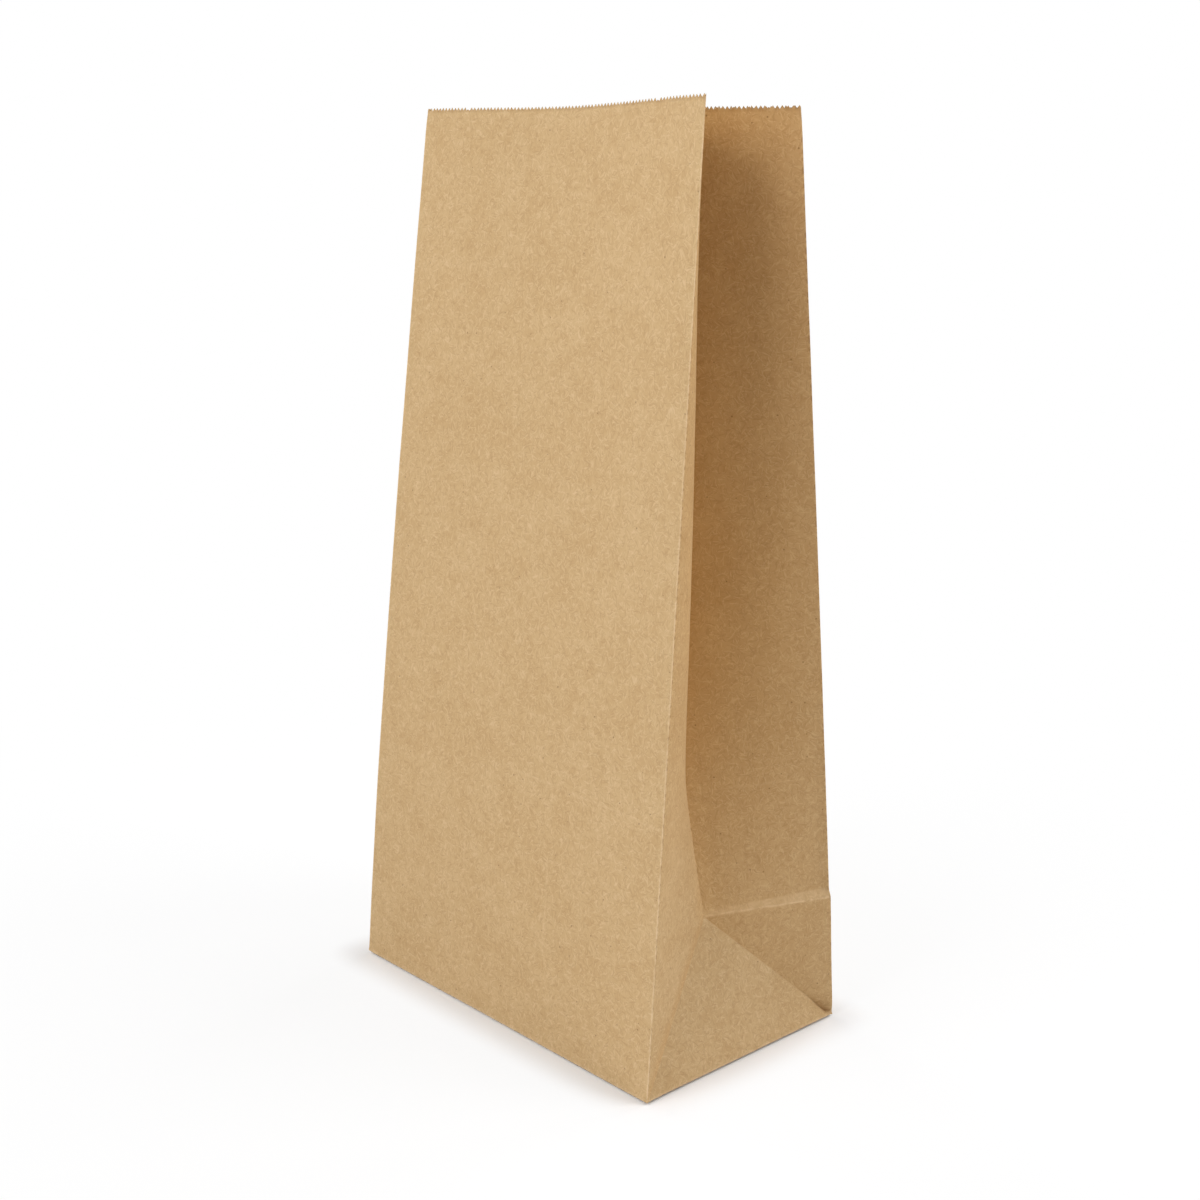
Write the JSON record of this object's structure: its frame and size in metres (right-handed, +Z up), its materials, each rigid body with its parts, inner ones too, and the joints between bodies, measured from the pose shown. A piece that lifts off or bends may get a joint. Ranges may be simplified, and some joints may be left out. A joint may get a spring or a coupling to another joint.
{
  "type": "paper lunch bag",
  "caption": "Brown kraft paper lunch bag standing open, a folded and glued sheet with side gussets, a block bottom and a serrated mouth.",
  "frame": {"origin": "centre of the underside, on the surface the bag stands on", "axes": "+Z up towards the mouth, -Y out of the front panel, +X to the right as seen from the front"},
  "size_m": [0.1315, 0.0797, 0.2681],
  "materials": {
    "kraft_paper": "matt, machine finished, unbleached"
  },
  "bodies": {
    "root": {"paper_bag": "kraft_paper"}
  },
  "joints": []
}
